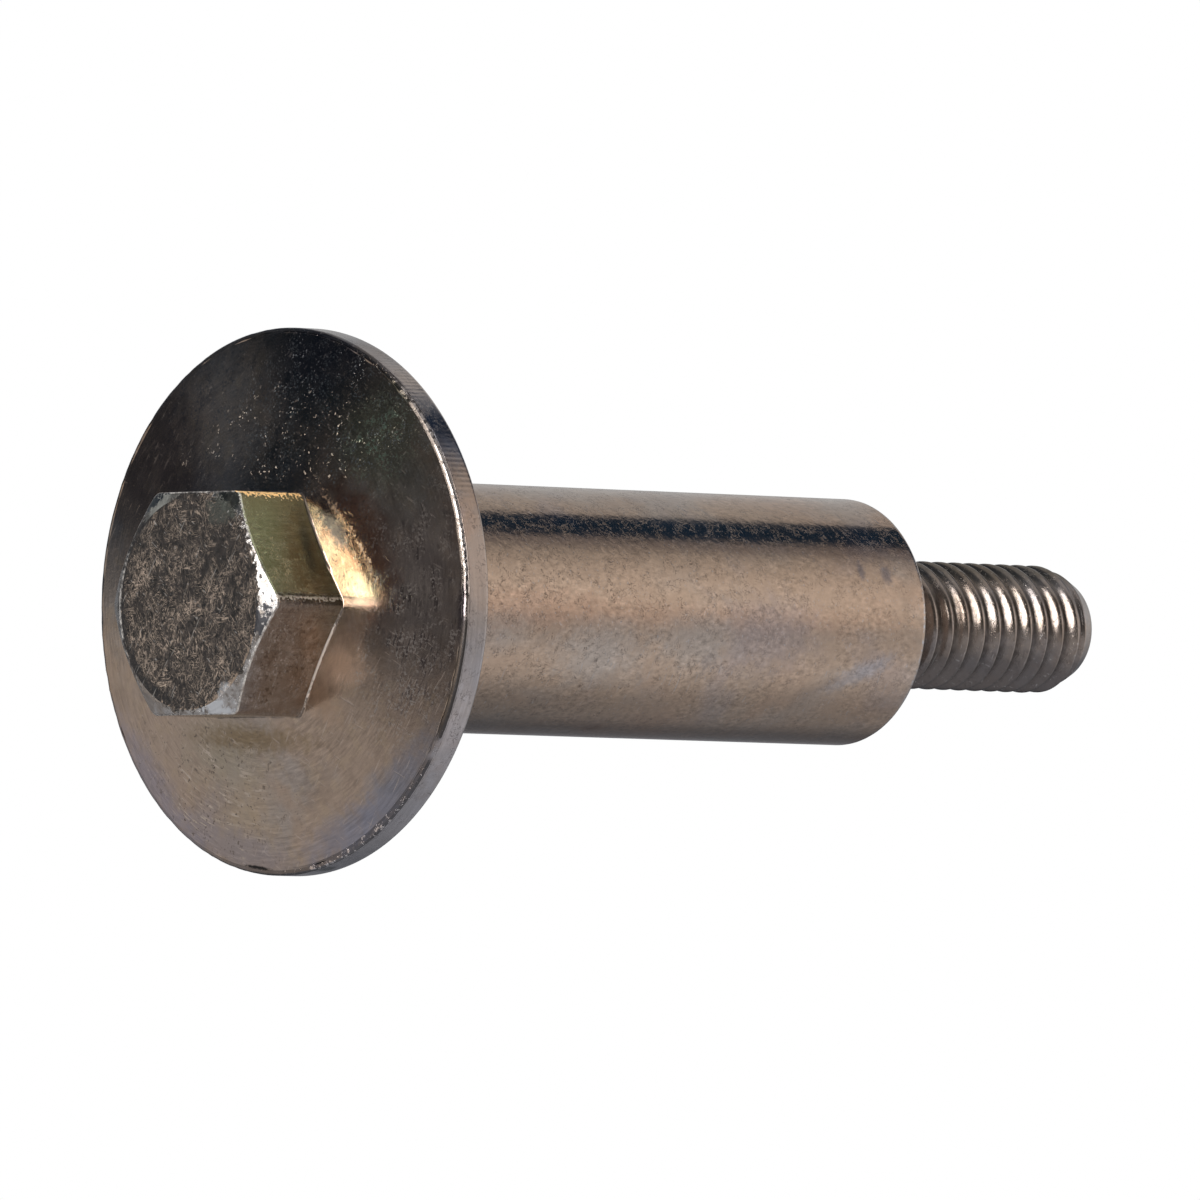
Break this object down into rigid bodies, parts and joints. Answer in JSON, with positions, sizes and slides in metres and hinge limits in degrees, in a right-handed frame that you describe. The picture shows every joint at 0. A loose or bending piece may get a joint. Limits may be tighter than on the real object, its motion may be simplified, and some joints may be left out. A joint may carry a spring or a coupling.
{
  "type": "flanged hexagon shoulder bolt",
  "caption": "Hexagon head bolt with a wide coned flange, a long smooth cylindrical shoulder and a short threaded stud with a rounded point.",
  "frame": {"origin": "on the bolt's axis, in the plane of the flange's bearing face", "axes": "+Z along the shank towards the threaded point, two flats of the hexagon face +X and -X, the head lies below zero"},
  "size_m": [0.0246, 0.0246, 0.0543],
  "materials": {
    "plated_steel": "plated steel, dull and worn, warm grey with dark stains"
  },
  "bodies": {
    "root": {"bolt": "plated_steel"}
  },
  "joints": []
}
